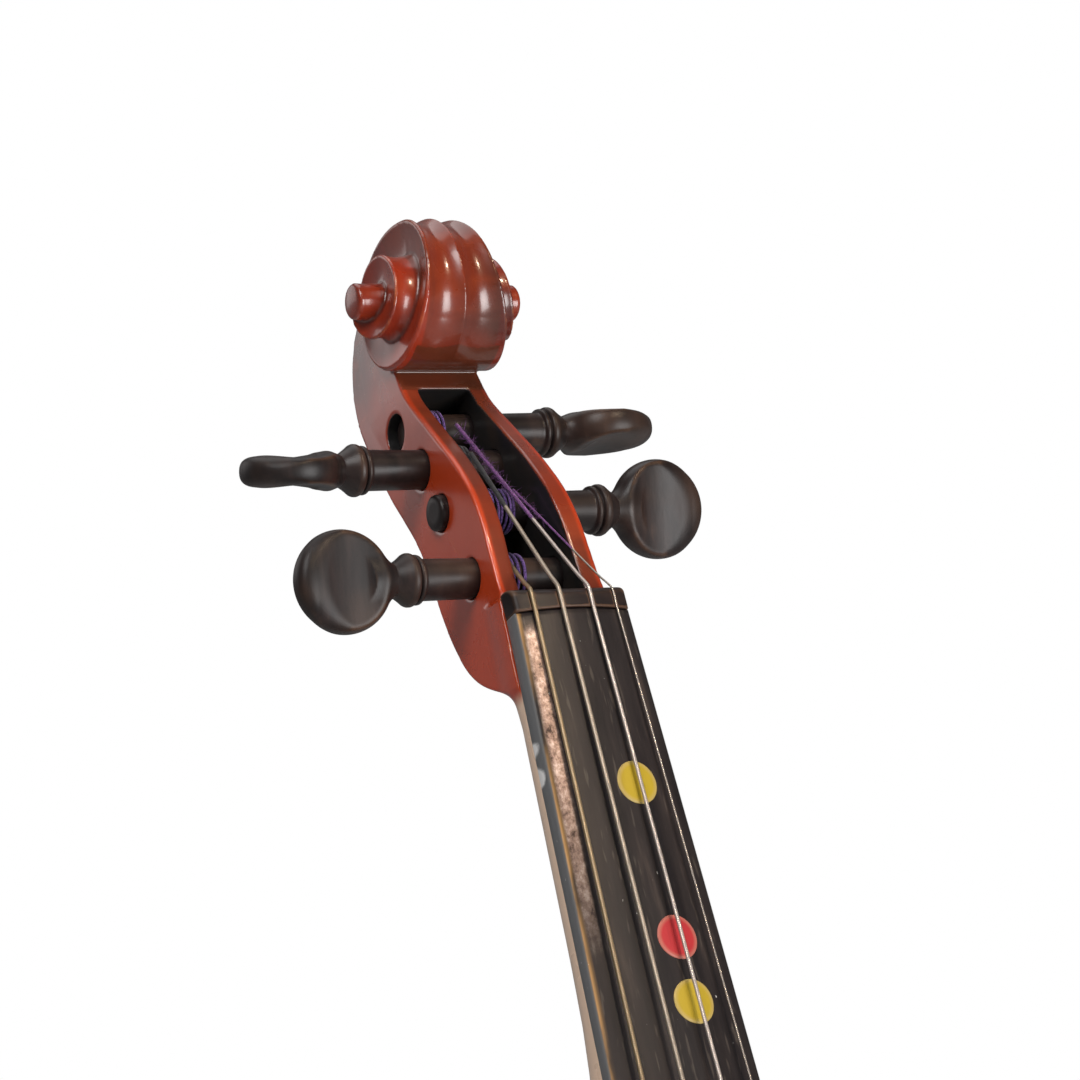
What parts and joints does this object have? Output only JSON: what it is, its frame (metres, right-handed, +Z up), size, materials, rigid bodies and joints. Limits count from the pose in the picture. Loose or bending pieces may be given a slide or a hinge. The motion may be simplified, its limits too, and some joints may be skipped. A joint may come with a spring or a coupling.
{
  "type": "violin",
  "caption": "Half-size violin: hollow arched body, neck with carved scroll, bridge, tuning pegs, fine tuners, chin rest and finger position dots.",
  "frame": {"origin": "centre of the end button's outer face, on the body's centre line", "axes": "+Z up the body's centre line from the end button to the scroll, -Y out of the front (the strings' side), -X the bass (g string) side"},
  "size_m": [0.188, 0.0892, 0.5213],
  "materials": {
    "varnished_maple": "glossy orange-red varnish over maple",
    "varnished_spruce": "glossy orange-red varnish over spruce",
    "bare_spruce": "unvarnished spruce",
    "bare_maple": "unvarnished maple",
    "ebony": "satin black-brown",
    "purfling": "satin dark inlay",
    "black_composite": "satin",
    "steel": "polished",
    "string_metal": "fine ribbon winding",
    "brass": "polished",
    "cork": "cork",
    "yellow_sticker": "matt",
    "red_sticker": "matt",
    "purple_silk": "wound thread",
    "black_silk": "wound thread"
  },
  "bodies": {
    "violin": {"neck_and_scroll": "varnished_maple", "fingerboard": "ebony", "nut": "ebony", "saddle": "ebony", "top_plate": "varnished_spruce", "back_plate": "varnished_maple", "top_purfling": "purfling", "back_purfling": "purfling", "bass_bar": "bare_spruce", "sound_post": "bare_spruce", "upper_block": "bare_spruce", "end_block": "bare_spruce", "corner_blocks": "bare_spruce", "rib_upper_bass": "varnished_maple", "rib_upper_treble": "varnished_maple", "rib_waist_bass": "varnished_maple", "rib_waist_treble": "varnished_maple", "rib_lower_bass": "varnished_maple", "rib_lower_treble": "varnished_maple", "front_linings": "bare_spruce", "back_linings": "bare_spruce", "bridge": "bare_maple", "tailpiece": "black_composite", "tuner_pivot_pin": "steel", "tail_gut": "black_composite", "end_button": "ebony", "chin_rest": "ebony", "chin_rest_cork": "cork", "chin_rest_posts": "steel", "chin_rest_foot": "steel", "yellow_finger_dots": "yellow_sticker", "red_finger_dot": "red_sticker", "string_g": "string_metal", "string_d": "string_metal", "string_a": "string_metal", "string_e": "string_metal"},
    "peg_g": {"peg_g": "ebony", "silk_winding_g": "purple_silk"},
    "peg_d": {"peg_d": "ebony", "silk_winding_d": "black_silk"},
    "peg_a": {"peg_a": "ebony", "silk_winding_a": "purple_silk"},
    "peg_e": {"peg_e": "ebony", "silk_winding_e": "purple_silk"},
    "tuner_screw_g": {"tuner_screw_g": "steel"},
    "tuner_lever_g": {"tuner_lever_g": "steel", "ball_end_g": "brass"},
    "tuner_screw_d": {"tuner_screw_d": "steel"},
    "tuner_lever_d": {"tuner_lever_d": "steel", "ball_end_d": "brass"},
    "tuner_screw_a": {"tuner_screw_a": "steel"},
    "tuner_lever_a": {"tuner_lever_a": "steel", "ball_end_a": "brass"},
    "tuner_screw_e": {"tuner_screw_e": "steel"},
    "tuner_lever_e": {"tuner_lever_e": "steel", "ball_end_e": "brass"},
    "chin_rest_barrel_outer": {"chin_rest_barrel_outer": "steel"},
    "chin_rest_barrel_inner": {"chin_rest_barrel_inner": "steel"}
  },
  "joints": [
    {"name": "peg_g_turn", "type": "hinge", "parent": "violin", "child": "peg_g", "pos_m": [0, -0.00047, 0.4474], "axis": [-1, 0, 0], "continuous": true},
    {"name": "peg_d_turn", "type": "hinge", "parent": "violin", "child": "peg_d", "pos_m": [0, 0.01228, 0.47223], "axis": [-1, 0, 0], "continuous": true},
    {"name": "peg_a_turn", "type": "hinge", "parent": "violin", "child": "peg_a", "pos_m": [0, 0.02012, 0.48202], "axis": [1, 0, 0], "continuous": true},
    {"name": "peg_e_turn", "type": "hinge", "parent": "violin", "child": "peg_e", "pos_m": [0, 0.00723, 0.46223], "axis": [1, 0, 0], "continuous": true},
    {"name": "tuner_g_screw", "type": "hinge", "parent": "violin", "child": "tuner_screw_g", "pos_m": [-0.012, -0.03991, 0.08874], "axis": [0, 0.982, 0.1888], "range_deg": [0, 1440]},
    {"name": "tuner_g_rock", "type": "hinge", "parent": "violin", "child": "tuner_lever_g", "pos_m": [-0.012, -0.03776, 0.10086], "axis": [1, 0, 0], "range_deg": [0, 8]},
    {"name": "tuner_d_screw", "type": "hinge", "parent": "violin", "child": "tuner_screw_d", "pos_m": [-0.004, -0.03991, 0.08874], "axis": [0, 0.982, 0.1888], "range_deg": [0, 1440]},
    {"name": "tuner_d_rock", "type": "hinge", "parent": "violin", "child": "tuner_lever_d", "pos_m": [-0.004, -0.03776, 0.10086], "axis": [1, 0, 0], "range_deg": [0, 8]},
    {"name": "tuner_a_screw", "type": "hinge", "parent": "violin", "child": "tuner_screw_a", "pos_m": [0.004, -0.03991, 0.08874], "axis": [0, 0.982, 0.1888], "range_deg": [0, 1440]},
    {"name": "tuner_a_rock", "type": "hinge", "parent": "violin", "child": "tuner_lever_a", "pos_m": [0.004, -0.03776, 0.10086], "axis": [1, 0, 0], "range_deg": [0, 8]},
    {"name": "tuner_e_screw", "type": "hinge", "parent": "violin", "child": "tuner_screw_e", "pos_m": [0.012, -0.03991, 0.08874], "axis": [0, 0.982, 0.1888], "range_deg": [0, 1440]},
    {"name": "tuner_e_rock", "type": "hinge", "parent": "violin", "child": "tuner_lever_e", "pos_m": [0.012, -0.03776, 0.10086], "axis": [1, 0, 0], "range_deg": [0, 8]},
    {"name": "chin_rest_barrel_outer_turn", "type": "hinge", "parent": "violin", "child": "chin_rest_barrel_outer", "pos_m": [-0.042, 0, 0.0082], "axis": [0, -1, 0], "range_deg": [-720, 720]},
    {"name": "chin_rest_barrel_inner_turn", "type": "hinge", "parent": "violin", "child": "chin_rest_barrel_inner", "pos_m": [-0.027, 0, 0.0082], "axis": [0, -1, 0], "range_deg": [-720, 720]}
  ],
  "couplings": [
    {"joint": "tuner_g_rock", "follows": "tuner_g_screw", "ratio": 0.005556},
    {"joint": "tuner_d_rock", "follows": "tuner_d_screw", "ratio": 0.005556},
    {"joint": "tuner_a_rock", "follows": "tuner_a_screw", "ratio": 0.005556},
    {"joint": "tuner_e_rock", "follows": "tuner_e_screw", "ratio": 0.005556}
  ]
}
